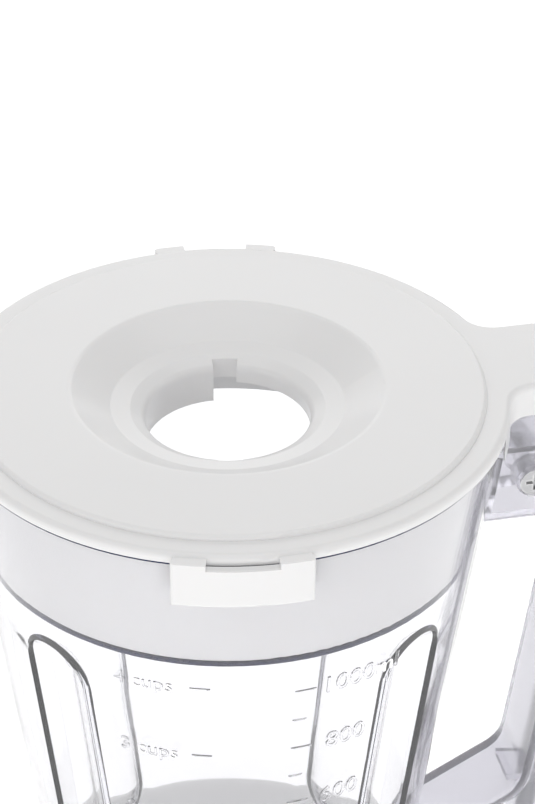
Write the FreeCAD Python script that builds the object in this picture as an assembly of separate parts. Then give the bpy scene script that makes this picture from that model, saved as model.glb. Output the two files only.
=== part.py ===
import FreeCAD, Part
import math
import os

# Countertop blender: clear jug with a white lid, a blade unit under the jug, and a motor base.
# Millimetres. +Z up, origin on the drive axis at the counter, handle along +X, controls facing -Y.

# ---- Driving dimensions: base ----
foot_height = 3.5
base_height = 150.0
base_foot_radius = 87.0
base_deck_radius = 79.0
nose_x = 72.0
nose_foot_radius = 25.0
nose_deck_radius = 20.5
wall = 2.6
deck_edge_round = 6.0
plate_thickness = 3.0
seat_bore_radius = 48.5
seat_depth = 20.0
well_radius = 34.0
well_depth = 21.0
shaft_hole_radius = 7.0
pad_depth = 1.2

# ---- Driving dimensions: jug ----
jug_height = 198.0
jug_rim_radius = 66.9
jug_taper = 0.129
jug_wall = 2.6
neck_radius = 38.0
neck_wall = 2.8
neck_height = 18.0
flute_radius = 14.0
flute_depth = 4.2
flute_top_drop = 51.0
flute_end_rise = 43.0
pattern_angle = -9.5

# ---- Driving dimensions: handle ----
handle_width = 24.0
handle_wall = 2.4
grip_half = 9.2
rod_port_x = 80.0
rod_y = 4.0
rod_radius = 2.5
block_height = 33.0
handle_screw_x = 75.5
handle_screw_drop = 22.0
lower_screw_rise = 27.0
web_rise = 41.5

# ---- Driving dimensions: lid ----
flange_radius = 68.0
flange_thickness = 2.4
plateau_radius = 62.2
plateau_height = 1.2
lid_wall = 2.2
skirt_depth = 32.5
funnel_radius = 38.0
funnel_foot_radius = 28.3
funnel_depth = 5.6
neck_bore_radius = 20.0
neck_rim_radius = 23.6
slot_radius = 22.4
arm_half_width = 14.5
arm_reach = 113.0
arm_depth = 8.4
arm_blend = 7.0
tab_angle = -8.7
tab_half_angle = 13.2
tab_slot_half_angle = 6.7
tab_outer_radius = 70.7
tab_inner_radius = 68.6
tab_depth = 12.2
lid_turn_deg = 14.0

# ---- Driving dimensions: blade unit ----
collar_radius = 46.0
collar_floor = 3.0
carrier_flange = 4.0
gasket_thickness = 2.0
shaft_radius = 4.0
blade_reach = 31.0
blade_thickness = 1.6
coupling_radius = 20.0
tooth_count = 6

# ---- Driving dimensions: motor and controls ----
stator_height = 30.0
stator_bottom = 56.0
armature_radius = 17.0
bearing_radius = 11.0
bearing_height = 7.0
fan_radius = 33.0
knob_height = 78.0
knob_radius = 21.0
pad_radius = 33.0
pad_face_y = -86.5

# ---- Clearances ----
fit_gap = 0.3
running_gap = 0.05
seat_gap = 0.3

# ---- Levels worked out from the driving dimensions ----
z_deck = base_height
z_seat = z_deck - seat_depth
z_well = z_seat - well_depth
z_collar = z_seat + seat_gap
z_carrier = z_collar + collar_floor
z_gasket = z_carrier + carrier_flange
z_neck = z_gasket + gasket_thickness + 0.2
z_rim = z_neck + jug_height
z_jug_floor = z_neck + neck_height
z_flange = z_rim + fit_gap
z_lid = z_flange + flange_thickness
z_handle_top = z_lid - arm_depth - fit_gap
z_block = z_handle_top - block_height
z_foot = z_deck + 0.5
Z = FreeCAD.Vector(0, 0, 1)
ORIGIN = FreeCAD.Vector(0, 0, 0)


def vec(x, y, z):
    return FreeCAD.Vector(x, y, z)


def jug_radius(z):
    """Outer radius of the jug's wall at a height."""
    return jug_rim_radius - jug_taper * (z_rim - z)


def rod_x(z):
    """Where the interlock rod's sloping axis is at a height."""
    return rod_port_x + jug_taper * (z - z_deck)


def polar(radius, angle):
    """(x, y) of a point at a radius and an angle in degrees about Z."""
    return radius * math.cos(math.radians(angle)), radius * math.sin(math.radians(angle))


# ---- Shape helpers ----
def rounded_wire(corners, place):
    """Closed outline through corners (a, b) or (a, b, radius), mapped to space by place(a, b)."""
    points = [vec(c[0], c[1], 0) for c in corners]
    count = len(corners)
    starts, middles, ends = [], [], []
    for i, corner in enumerate(corners):
        here = points[i]
        radius = corner[2] if len(corner) > 2 else 0
        if radius <= 0:
            starts.append(here)
            middles.append(None)
            ends.append(here)
            continue
        back = (points[i - 1] - here).normalize()
        ahead = (points[(i + 1) % count] - here).normalize()
        half = back.getAngle(ahead) / 2
        bisector = (back + ahead).normalize()
        reach = radius / math.tan(half)
        starts.append(here + back * reach)
        ends.append(here + ahead * reach)
        middles.append(here + bisector * (radius / math.sin(half) - radius))
    edges = []
    for i in range(count):
        if middles[i] is not None:
            arc = [place(p.x, p.y) for p in (starts[i], middles[i], ends[i])]
            edges.append(Part.Arc(*arc).toShape())
        a, b = ends[i], starts[(i + 1) % count]
        if a.distanceToPoint(b) > 1e-6:
            edges.append(Part.LineSegment(place(a.x, a.y), place(b.x, b.y)).toShape())
    return Part.Wire(edges)


def turned(corners):
    """Solid of revolution about Z from an outline in (radius, height)."""
    face = Part.Face(rounded_wire(corners, lambda r, z: vec(r, 0, z)))
    return face.revolve(ORIGIN, Z, 360)


def slab(corners, z0, z1):
    """Outline in (x, y) raised from z0 to z1."""
    face = Part.Face(rounded_wire(corners, lambda x, y: vec(x, y, z0)))
    return face.extrude(vec(0, 0, z1 - z0))


def side_slab(corners, y0, y1):
    """Outline in (x, z) run from y0 to y1."""
    face = Part.Face(rounded_wire(corners, lambda x, z: vec(x, y0, z)))
    return face.extrude(vec(0, y1 - y0, 0))


def box(x0, x1, y0, y1, z0, z1):
    return Part.makeBox(x1 - x0, y1 - y0, z1 - z0, vec(x0, y0, z0))


def rod(radius, z0, z1, x=0.0, y=0.0):
    return Part.makeCylinder(radius, z1 - z0, vec(x, y, z0))


def tube(inner, outer, z0, z1, x=0.0, y=0.0):
    return rod(outer, z0, z1, x, y).cut(rod(inner, z0 - 1, z1 + 1, x, y))


def sector(inner, outer, z0, z1, start, end):
    """Part of a ring between two angles, in degrees about Z."""
    piece = Part.makeCylinder(outer, z1 - z0, vec(0, 0, z0), Z, end - start)
    if inner > 0:
        piece = piece.cut(rod(inner, z0 - 1, z1 + 1))
    piece.rotate(ORIGIN, Z, start)
    return piece


def joined(pieces):
    """One clean solid from pieces that overlap."""
    whole = pieces[0].fuse(pieces[1:]) if len(pieces) > 1 else pieces[0]
    return whole.removeSplitter()


def around(piece, count, start=0.0):
    """Copies of a piece about Z."""
    copies = []
    for i in range(count):
        copy = piece.copy()
        copy.rotate(ORIGIN, Z, start + 360.0 * i / count)
        copies.append(copy)
    return copies


def along_y(piece, x, y, z):
    """A piece made about Z, laid so that its top points along -Y, then moved to (x, y, z)."""
    laid = piece.copy()
    laid.rotate(ORIGIN, vec(1, 0, 0), 90)
    laid.translate(vec(x, y, z))
    return laid


def top_edges(shape, z):
    return [e for e in shape.Edges if all(abs(v.Z - z) < 1e-4 for v in e.Vertexes)
            and abs(e.BoundBox.ZMax - z) < 1e-3 and abs(e.BoundBox.ZMin - z) < 1e-3]


def helix_spring(mean_radius, wire_radius, z0, z1, turns):
    """Round-wire compression spring about Z."""
    pitch = (z1 - z0 - 2 * wire_radius) / turns
    path = Part.makeHelix(pitch, pitch * turns, mean_radius)
    path.translate(vec(0, 0, z0 + wire_radius))
    start = vec(mean_radius, 0, z0 + wire_radius)
    section = Part.Wire(Part.makeCircle(wire_radius, start, vec(0, 1, 0)))
    return Part.Wire(path.Edges).makePipeShell([section], True, True)


def pan_screw(shank, length, head, head_height):
    """Screw about Z: head from 0 up, shank below, with a cross recess."""
    body = rod(shank, -length, 0).fuse(rod(head, 0, head_height))
    slot = box(-head * 0.6, head * 0.6, -0.45, 0.45, head_height - 1.0, head_height + 1)
    cross = slot.copy()
    cross.rotate(ORIGIN, Z, 90)
    return body.cut(slot).cut(cross).removeSplitter()


parts = {}


# ---- Lid ----
def lid_outline(z):
    """Flange circle with the arm blended out of it, as one smooth closed wire at height z."""
    far_x = math.sqrt((flange_radius + arm_blend) ** 2 - (arm_half_width + arm_blend) ** 2)
    share = flange_radius / (flange_radius + arm_blend)
    rim = [vec(far_x * share, s * (arm_half_width + arm_blend) * share, z) for s in (1, -1)]
    side = [vec(far_x, s * arm_half_width, z) for s in (1, -1)]
    blends = []
    for i, s in enumerate((1, -1)):
        centre = vec(far_x, s * (arm_half_width + arm_blend), z)
        to_rim = (rim[i] - centre).normalize()
        to_side = (side[i] - centre).normalize()
        middle = centre + (to_rim + to_side).normalize() * arm_blend
        blends.append((rim[i], middle, side[i]))
    corner = 9.0
    end_x = arm_reach - corner
    inner = arm_half_width - corner
    diagonal = corner * math.sqrt(0.5)
    edges = [
        Part.Arc(rim[0], vec(-flange_radius, 0, z), rim[1]).toShape(),
        Part.Arc(*blends[1]).toShape(),
        Part.LineSegment(side[1], vec(end_x, -arm_half_width, z)).toShape(),
        Part.Arc(vec(end_x, -arm_half_width, z), vec(end_x + diagonal, -inner - diagonal, z),
                 vec(arm_reach, -inner, z)).toShape(),
        Part.LineSegment(vec(arm_reach, -inner, z), vec(arm_reach, inner, z)).toShape(),
        Part.Arc(vec(arm_reach, inner, z), vec(end_x + diagonal, inner + diagonal, z),
                 vec(end_x, arm_half_width, z)).toShape(),
        Part.LineSegment(vec(end_x, arm_half_width, z), side[0]).toShape(),
        Part.Arc(*reversed(blends[0])).toShape(),
    ]
    return Part.Wire(edges)


def make_lid():
    plate = Part.Face(lid_outline(z_flange)).extrude(vec(0, 0, flange_thickness))
    plate = plate.makeFillet(1.6, top_edges(plate, z_lid))
    arm = Part.Face(lid_outline(z_lid - arm_depth)).extrude(vec(0, 0, arm_depth - flange_thickness))
    arm = arm.cut(rod(jug_rim_radius + 0.7, z_lid - arm_depth - 1, z_flange))
    arm = arm.common(box(60, arm_reach + 5, -40, 40, z_lid - arm_depth - 1, z_flange + 1))
    hollow_x = jug_rim_radius + 0.7 + lid_wall
    end_x, side_y = arm_reach - lid_wall, arm_half_width - lid_wall
    arm = arm.cut(slab([(hollow_x + 1, -side_y, 1), (end_x, -side_y, 7), (end_x, side_y, 7),
                        (hollow_x + 1, side_y, 1)], z_lid - arm_depth - 1, z_flange))
    top = z_lid + plateau_height
    outer_top = jug_radius(z_flange) - jug_wall - 0.6
    outer_foot = jug_radius(z_flange - skirt_depth) - jug_wall - 0.6
    z_skirt = z_flange - skirt_depth
    under = z_lid - 1.2
    z_floor = top - funnel_depth
    z_lip = z_lid - 16.7
    z_short = z_lid - 11.4
    shell = turned([
        (neck_bore_radius, z_lip), (neck_bore_radius, z_floor - 2.9, 2.2),
        (neck_rim_radius, z_floor - 0.9, 1.0), (funnel_foot_radius, z_floor, 0.9),
        (funnel_radius, top, 2.5), (plateau_radius, top, 1.0), (plateau_radius, z_lid),
        (flange_radius - 2.5, z_lid), (flange_radius - 2.5, z_flange),
        (outer_top, z_flange), (outer_foot, z_skirt, 0.6), (outer_foot - lid_wall, z_skirt, 0.6),
        (outer_top - lid_wall, under, 1.5), (funnel_radius - 0.8, under, 2.0),
        (funnel_foot_radius - 1.6, z_floor - lid_wall, 0.8),
        (slot_radius + lid_wall, z_floor - lid_wall, 0.6),
        (slot_radius + lid_wall, z_short), (slot_radius, z_short), (slot_radius, z_lip),
    ])
    pieces = [plate.cut(rod(flange_radius - 3, z_flange - 1, z_lid + 1)), shell, arm]
    for axis in (-90.0 + tab_angle, 90.0 + tab_angle):
        low, z_tab = z_lid - tab_depth, z_flange + 0.3
        tab = sector(tab_inner_radius, tab_outer_radius, low, z_lid - 0.7,
                     axis - tab_half_angle, axis + tab_half_angle)
        outer_edges = [e for e in tab.Edges if min(v.Z for v in e.Vertexes) < low + 0.01
                       and min(math.hypot(v.X, v.Y) for v in e.Vertexes) > tab_outer_radius - 0.01]
        tab = tab.makeFillet(1.1, outer_edges)
        tab = tab.cut(sector(tab_inner_radius - 1, tab_outer_radius + 1, z_tab, z_lid,
                             axis - tab_slot_half_angle, axis + tab_slot_half_angle))
        pieces.append(tab)
        for end in (-1, 1):
            a, b = sorted((axis + end * tab_slot_half_angle, axis + end * (tab_half_angle - 0.3)))
            pieces.append(sector(flange_radius - 2, tab_inner_radius + 0.5, z_flange, z_lid - 0.7, a, b))
            a, b = sorted((axis + end * (tab_half_angle - 1.5), axis + end * (tab_half_angle - 0.3)))
            pieces.append(sector(jug_rim_radius + 0.5, tab_inner_radius + 0.5, low + 0.4, z_flange + 0.1,
                                 a, b))
    cam_x0, cam_x1 = rod_x(z_handle_top) - 6.5, rod_x(z_handle_top) + 5.5
    cam_low = z_lid - arm_depth + 1.15
    ramp = 0.222
    pieces.append(Part.Face(Part.makePolygon([
        vec(cam_x0, rod_y - 5, z_flange + 1), vec(cam_x0, rod_y - 5, cam_low),
        vec(cam_x0, rod_y, cam_low), vec(cam_x0, side_y + 0.5, cam_low + ramp * (side_y + 0.5 - rod_y)),
        vec(cam_x0, side_y + 0.5, z_flange + 1), vec(cam_x0, rod_y - 5, z_flange + 1),
    ])).extrude(vec(cam_x1 - cam_x0, 0, 0)))
    lid = joined(pieces)
    lid = lid.cut(Part.Face(Part.makePolygon([
        vec(cam_x0 - 4, side_y - 1, z_lid - arm_depth - 1),
        vec(cam_x0 - 4, side_y - 1, cam_low + ramp * (side_y - 1 - rod_y)),
        vec(cam_x0 - 4, arm_half_width + 1, cam_low + ramp * (arm_half_width + 1 - rod_y)),
        vec(cam_x0 - 4, arm_half_width + 1, z_lid - arm_depth - 1),
        vec(cam_x0 - 4, side_y - 1, z_lid - arm_depth - 1),
    ])).extrude(vec(cam_x1 - cam_x0 + 6, 0, 0)))
    for axis in (90.0 + pattern_angle, 270.0 + pattern_angle):
        lid = lid.cut(sector(neck_bore_radius - 1, slot_radius, z_lip - 1, z_floor + 3,
                             axis - 8.2, axis + 8.2))
        lid = lid.cut(sector(neck_bore_radius - 1, slot_radius + 0.01, z_lip - 1, z_short,
                             axis - 95.0, axis))
    return lid.removeSplitter()


parts["lid"] = make_lid()


def make_lid_seal():
    """Silicone ring under the skirt's lower edge."""
    z_skirt = z_flange - skirt_depth
    bore = jug_radius(z_skirt) - jug_wall
    inner = bore - 0.6 - lid_wall - fit_gap
    edge = bore - fit_gap - 0.05
    return turned([(inner - 1.4, z_skirt - 1.5), (edge - jug_taper * 1.5, z_skirt - 1.5, 0.4),
                   (edge, z_skirt - fit_gap, 0.2), (inner, z_skirt - fit_gap),
                   (inner, z_skirt + 3.0, 0.4), (inner - 1.4, z_skirt + 3.0, 0.4)])


parts["lid_seal"] = make_lid_seal()


# ---- Jug ----
def flute_cutters(radius):
    """Capsules laid along the wall that press the flutes in, grown to the given radius."""
    z_low, z_high = z_neck + flute_end_rise, z_rim - flute_top_drop
    stand_off = flute_radius - flute_depth
    ends = [vec(jug_radius(z) + stand_off, 0, z) for z in (z_low, z_high)]
    run = ends[1] - ends[0]
    capsule = Part.makeCylinder(radius, run.Length, ends[0], run)
    capsule = capsule.fuse([Part.makeSphere(radius, e) for e in ends]).removeSplitter()
    return around(capsule, 4, 45.0 + pattern_angle)


def make_jug():
    z_turn = z_jug_floor + 1.0
    outer = turned([(0, z_neck), (neck_radius, z_neck), (neck_radius, z_jug_floor, 1.0),
                    (jug_radius(z_turn), z_turn, 1.5), (jug_rim_radius, z_rim, 0.6), (0, z_rim)])
    inner_low = z_jug_floor + 3.0
    cavity = turned([(0, z_neck - 1), (neck_radius - neck_wall, z_neck - 1),
                     (neck_radius - neck_wall, inner_low, 3.0),
                     (jug_radius(inner_low + 3) - jug_wall, inner_low + 3, 4.0),
                     (jug_radius(z_rim + 1) - jug_wall, z_rim + 1), (0, z_rim + 1)])
    for cutter in flute_cutters(flute_radius):
        outer = outer.cut(cutter)
    for cutter in flute_cutters(flute_radius + jug_wall):
        cavity = cavity.cut(cutter)
    pieces = [outer]
    # ears inside the handle for its two cross screws
    for x, z in ((handle_screw_x, z_handle_top - handle_screw_drop), lower_screw()):
        reach = x + 4.5
        pieces.append(side_slab([(jug_radius(z) - 1.5, z - 5.5), (reach, z - 4.5, 3), (reach, z + 4.5, 3),
                                 (jug_radius(z) - 1.5, z + 5.5)], -4, 4))
    # lugs that stop the lid's turn inside its two tabs
    for axis in (-90.0 + tab_angle, 90.0 + tab_angle):
        middle = axis - lid_turn_deg / 2
        pieces.append(sector(jug_rim_radius - 1.6, tab_inner_radius - fit_gap, z_lid - 9.5, z_lid - 4.5,
                             middle - 3.6, middle + 3.6))
    # bayonet lugs on the neck
    for start in (20.0, 110.0, 200.0, 290.0):
        pieces.append(sector(neck_radius - 1, neck_radius + 2.8, z_neck + 7.5, z_neck + 10.5,
                             start, start + 26))
    jug = joined(pieces).cut(cavity)
    for x, z in ((handle_screw_x, z_handle_top - handle_screw_drop), lower_screw()):
        jug = jug.cut(along_y(rod(2.15, -10, 10), x, 0, z))
    return jug.removeSplitter()


def lower_screw():
    """(x, z) of the handle's lower cross screw."""
    z = z_deck + lower_screw_rise
    return jug_radius(z) + 9.5, z


parts["jug"] = make_jug()


# ---- Handle ----
def handle_outline(inset):
    """Side outline of the handle in (x, z), moved inwards by inset on every side."""
    gap = 0.3
    top, foot = z_handle_top - inset, z_foot + inset
    slope = 0.585
    z_web = z_deck + web_rise
    rise = inset * math.sqrt(1 + slope ** 2)
    lower_z = z_jug_floor + 7.0
    outer = lambda z: rod_x(z) + grip_half - inset
    inner = lambda z: rod_x(z) - grip_half + inset
    x_web = jug_radius(z_web) + gap + inset
    z_loop = z_web - rise + slope * (inner(z_web + 16) - x_web)
    z_low = z_block + inset
    return [
        (jug_radius(top) + gap + inset, top),
        (outer(top), top, 9.0 - inset),
        (outer(foot), foot, 6.0 - inset),
        (collar_radius + 20.0 + inset, foot, 2.0),
        (collar_radius + 8.0 + inset, lower_z + inset, 2.0),
        (jug_radius(lower_z) + gap + inset, lower_z + inset),
        (x_web, z_web - rise),
        (inner(z_loop), z_loop, 9.0 + inset),
        (inner(z_low), z_low, 9.0 + inset),
        (jug_radius(z_low) + gap + inset, z_low),
    ]


def make_handle_frame():
    half = handle_width / 2
    frame = side_slab(handle_outline(0.0), -half, half)
    rims = [e for e in frame.Edges if abs(abs(e.BoundBox.YMin) - half) < 1e-4
            and abs(e.BoundBox.YMax - e.BoundBox.YMin) < 1e-4 and e.BoundBox.XMax > jug_rim_radius + 2]
    rims = [e for e in rims if e.BoundBox.ZMax < z_handle_top - 1e-3 and e.BoundBox.ZMin > z_foot + 1e-3
            and e.BoundBox.ZMax > z_deck + web_rise + 25]
    frame = frame.makeFillet(2.2, rims)
    pocket_half = half - handle_wall
    pocket = side_slab(handle_outline(handle_wall), -pocket_half, pocket_half)
    z_hi, z_lo = z_handle_top - handle_wall, z_foot + handle_wall
    opening = side_slab([(rod_x(z_lo) + 2, z_lo), (rod_x(z_lo) + 40, z_lo), (rod_x(z_hi) + 40, z_hi),
                         (rod_x(z_hi) + 2, z_hi)], -pocket_half, pocket_half)
    frame = frame.cut(pocket.fuse(opening))
    # openings for the jug's ears
    z_up = z_handle_top - handle_screw_drop
    frame = frame.cut(box(jug_radius(z_up) - 4, handle_screw_x, -4.3, 4.3, z_up - 5.9, z_up + 5.9))
    x_lo, z_ear = lower_screw()
    frame = frame.cut(box(jug_radius(z_ear) - 4, x_lo, -4.3, 4.3, z_ear - 5.9, z_ear + 5.9))
    # shelf over the upper ear, rod guides and cover screw posts
    inner_x = jug_radius(z_up) + handle_wall
    pieces = [frame, box(inner_x, handle_screw_x + 14, -pocket_half - 0.5, pocket_half + 0.5,
                         z_up + 9.0, z_up + 10.6)]
    for z in guide_heights():
        guide = box(rod_x(z) - grip_half + 1.0, rod_x(z) + grip_half - handle_wall - 0.6,
                    rod_y - 5.2, pocket_half + 0.5, z - 1.2, z + 1.2)
        pieces.append(guide)
    for z in post_heights():
        start = rod_x(z) - grip_half + 1.0
        length = 2 * grip_half - handle_wall - 1.4
        pieces.append(Part.makeCylinder(2.9, length, vec(start, post_y, z), vec(1, 0, 0)))
        pieces.append(box(start, start + length, -pocket_half - 0.5, post_y - 2.0, z - 1.0, z + 1.0))
    for x, z in ((handle_screw_x, z_up), lower_screw()):
        for side in (-1, 1):
            post = rod(4.6, 4.4, half - 0.8)
            pieces.append(along_y(post if side < 0 else rod(4.6, -(half - 0.8), -4.4), x, 0, z))
    frame = joined(pieces)
    frame = frame.cut(rod_solid(rod_radius + 0.35, z_foot - 20, z_handle_top + 20))
    for x, z in ((handle_screw_x, z_up), lower_screw()):
        frame = frame.cut(along_y(rod(2.15, -half + 2.0, half + 1), x, 0, z))
        frame = frame.cut(along_y(rod(4.05, half - 3.2, half + 1), x, 0, z))
    for z in post_heights():
        frame = frame.cut(Part.makeCylinder(1.2, 9, vec(rod_x(z) + grip_half - 9, post_y, z), vec(1, 0, 0)))
    return frame.removeSplitter()


post_y = -5.6


def post_heights():
    return z_deck + 14.0, z_deck + 90.0, z_handle_top - 12.0


def guide_heights():
    return z_deck + 52.0, z_deck + 120.0


def rod_solid(radius, z0, z1):
    """Cylinder on the rod's sloping axis, its ends square to that axis."""
    start, end = vec(rod_x(z0), rod_y, z0), vec(rod_x(z1), rod_y, z1)
    return Part.makeCylinder(radius, (end - start).Length, start, end - start)


parts["handle_frame"] = make_handle_frame()


def make_handle_cover():
    """Strip that closes the back of the grip between the frame's top and bottom walls."""
    half = handle_width / 2 - handle_wall - 0.2
    z_hi, z_lo = z_handle_top - handle_wall - 0.2, z_foot + handle_wall + 0.2
    strip = side_slab([(rod_x(z_lo) + grip_half - handle_wall, z_lo), (rod_x(z_lo) + grip_half, z_lo, 1.0),
                       (rod_x(z_hi) + grip_half, z_hi, 1.0), (rod_x(z_hi) + grip_half - handle_wall, z_hi)],
                      -half, half)
    for z in post_heights():
        head_x = rod_x(z) + grip_half - 1.2
        strip = strip.cut(Part.makeCylinder(1.6, 20, vec(rod_x(z), post_y, z), vec(1, 0, 0)))
        strip = strip.cut(Part.makeCylinder(2.9, 20, vec(head_x, post_y, z), vec(1, 0, 0)))
    return strip


parts["handle_cover"] = make_handle_cover()


def make_cover_screws():
    screws = []
    for z in post_heights():
        screw = pan_screw(1.2, 7.0, 2.6, 1.1)
        screw.rotate(ORIGIN, vec(0, 1, 0), 90)
        screw.translate(vec(rod_x(z) + grip_half - 1.2, post_y, z))
        screws.append(screw)
    return Part.makeCompound(screws)


parts["handle_cover_screws"] = make_cover_screws()


def make_handle_screws():
    """Two cross screws that hold the handle to the jug's ears, heads on the -Y side."""
    half = handle_width / 2
    head = 2.6
    screws = []
    for x, z in ((handle_screw_x, z_handle_top - handle_screw_drop), lower_screw()):
        screws.append(along_y(pan_screw(1.95, 2 * half - 6.0, 3.9, head), x, -(half - 3.2), z))
    return Part.makeCompound(screws)


parts["handle_screws"] = make_handle_screws()


def make_interlock_rod():
    """Push rod with a domed tip under the lid's cam and a collar over its spring."""
    bottom = z_deck - 2.3
    tip = z_lid - arm_depth + 0.75
    z_tip = tip - rod_radius
    body = rod_solid(rod_radius, bottom, z_tip)
    dome = Part.makeSphere(rod_radius, vec(rod_x(z_tip), rod_y, z_tip))
    z_collar_rod = z_deck + 27.0
    return joined([body, dome, rod_solid(4.4, z_collar_rod, z_collar_rod + 2.0)])


parts["interlock_rod"] = make_interlock_rod()


def make_rod_spring():
    z0, z1 = z_foot + handle_wall + 0.8, z_deck + 26.7
    spring = helix_spring(3.7, 0.45, 0, (z1 - z0) * math.sqrt(1 + jug_taper ** 2), 6)
    spring.rotate(ORIGIN, vec(0, 1, 0), math.degrees(math.atan(jug_taper)))
    spring.translate(vec(rod_x(z0), rod_y, z0))
    return spring


parts["rod_spring"] = make_rod_spring()


# ---- Blade unit ----
def make_collar():
    """Bayonet collar that clamps the blade carrier under the jug's neck."""
    top = z_jug_floor - 0.6
    bore = neck_radius + 3.4
    body = turned([(30.0, z_collar), (collar_radius - 1, z_collar, 1.0), (collar_radius, z_collar + 3, 1.0),
                   (collar_radius, top, 1.2), (bore, top), (bore, z_carrier), (30.0, z_carrier)])
    pieces = [body]
    z_ledge = z_neck + 10.5 + fit_gap
    for start in (20.0, 110.0, 200.0, 290.0):
        pieces.append(sector(neck_radius + 0.4, bore + 1, z_ledge, z_ledge + 2.6, start, start + 26))
    collar = joined(pieces)
    groove = rod(1.4, z_collar + 5, top - 2.5, collar_radius + 0.7, 0)
    for copy in around(groove, 24, 7.5):
        collar = collar.cut(copy)
    return collar.removeSplitter()


parts["blade_collar"] = make_collar()

z_hub = z_jug_floor + 3.0
bush_radius = 7.0


def make_carrier():
    """Plastic carrier: a flange under the neck and a dome with the bearing hub."""
    rim = neck_radius - neck_wall - 0.5
    body = turned([
        (bush_radius, z_carrier + 0.9), (11.0, z_carrier + 0.9), (11.0, z_carrier + 9, 2.0),
        (rim - 3.0, z_carrier + 6.5, 2.0), (rim - 3.0, z_carrier + fit_gap),
        (neck_radius - 0.6, z_carrier + fit_gap),
        (neck_radius - 0.6, z_gasket), (rim, z_gasket), (rim, z_gasket + 5.5, 3.0),
        (13.0, z_gasket + 11, 4.0), (11.0, z_hub, 1.0), (bush_radius, z_hub),
    ])
    return body.cut(rod(bush_radius, z_carrier - 1, z_hub + 1)).removeSplitter()


parts["blade_carrier"] = make_carrier()
parts["blade_gasket"] = turned([
    (neck_radius - neck_wall - 0.3, z_gasket), (neck_radius - 0.6, z_gasket),
    (neck_radius - 0.6, z_gasket + gasket_thickness, 0.5),
    (neck_radius - neck_wall - 0.3, z_gasket + gasket_thickness, 0.5)])
parts["blade_bushes"] = Part.makeCompound([
    tube(shaft_radius + running_gap, bush_radius, z_hub - 10.0, z_hub - 2.6),
    tube(shaft_radius + running_gap, bush_radius, z_carrier + 1.2, z_carrier + 9.2)])
parts["blade_shaft_seal"] = turned([
    (shaft_radius + running_gap, z_hub - 2.4), (bush_radius, z_hub - 2.4), (bush_radius, z_hub - 0.2),
    (shaft_radius + 1.2, z_hub + 0.4, 0.3), (shaft_radius + running_gap, z_hub + 0.4)])

z_lower_blade = z_hub + 2.0
z_upper_blade = z_lower_blade + blade_thickness + 1.6
z_nut = z_upper_blade + blade_thickness
z_driven = z_collar + collar_floor - 6.6


def make_blade_shaft():
    shaft = rod(shaft_radius, z_driven - 5.0, z_nut + 5.0)
    shaft = shaft.cut(tube(shaft_radius - 0.7, shaft_radius + 1, z_carrier - 0.4, z_carrier + 0.6))
    return shaft.removeSplitter()


parts["blade_shaft"] = make_blade_shaft()
parts["shaft_clip"] = sector(shaft_radius - 0.7, 7.2, z_carrier - 0.3, z_carrier + 0.5, 30, 330)


def make_blade(z, reach, tilt, turn, width):
    """Two-winged blade with its wings bent up or down at the hub, ground to an edge along one side."""
    hub = rod(9.0, z, z + blade_thickness)
    pieces = [hub]
    for spin in (0, 180):
        length = (reach - 7.2) / math.cos(math.radians(tilt))
        wing = slab([(0, -width / 2), (length * 0.8, -width / 2, 6), (length, width * 0.15, 1.5),
                     (length * 0.9, width / 2 - 1, 3), (0, width / 2)], 0, blade_thickness)
        bevel = Part.Face(Part.makePolygon([
            vec(0, -width / 2 - 0.1, 0.3), vec(0, -width / 2 + 3.2, blade_thickness + 0.1),
            vec(0, -width / 2 - 0.1, blade_thickness + 0.1), vec(0, -width / 2 - 0.1, 0.3),
        ])).extrude(vec(length, 0, 0))
        wing = wing.cut(bevel)
        wing.rotate(ORIGIN, vec(0, 1, 0), -tilt)
        wing.translate(vec(7.2, 0, z))
        wing.rotate(ORIGIN, Z, spin + turn)
        pieces.append(wing)
    blade = joined(pieces)
    return blade.cut(rod(shaft_radius, z - 5, z + 5))


parts["blade_lower"] = make_blade(z_lower_blade, blade_reach, 8.0, 25.0, 12.5)
parts["blade_upper"] = make_blade(z_upper_blade, blade_reach - 6, 36.0, 115.0, 11.5)
parts["blade_washers"] = Part.makeCompound([
    tube(shaft_radius, 6.6, z_hub + 0.7, z_lower_blade),
    tube(shaft_radius, 6.6, z_lower_blade + blade_thickness, z_upper_blade)])


def make_nut():
    """Domed hexagon cap nut on the blade shaft."""
    across = 6.4
    hexagon = [polar(across, 60 * i) for i in range(6)]
    nut = slab(hexagon, z_nut, z_nut + 5.5)
    dome = Part.makeSphere(5.2, vec(0, 0, z_nut + 4.2)).common(rod(6, z_nut + 5, z_nut + 12))
    return joined([nut, dome]).cut(rod(shaft_radius, z_nut - 1, z_nut + 5.0))


parts["blade_nut"] = make_nut()


def make_coupling(z_disc, z_tips, disc_height, turn, bore_z0, bore_z1):
    """Toothed coupling half: a disc with teeth that run from it towards z_tips."""
    up = z_tips > z_disc
    z0, z1 = (z_disc, z_disc + disc_height) if up else (z_disc - disc_height, z_disc)
    root = z1 if up else z0
    low, high = sorted((root, z_tips))
    teeth = around(sector(11.0, coupling_radius, low, high, -13, 13), tooth_count, turn)
    return joined([rod(coupling_radius, z0, z1), rod(8.0, min(z0, bore_z0), max(z1, bore_z1))] + teeth)


z_drive = z_well + 3.0
drive_disc = 5.0
z_drive_root = z_drive + drive_disc
z_teeth_gap = 1.0
z_driven_root = z_driven - 0.4
driven_tips = z_drive_root + z_teeth_gap
drive_tips = z_driven_root - z_teeth_gap

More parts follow.
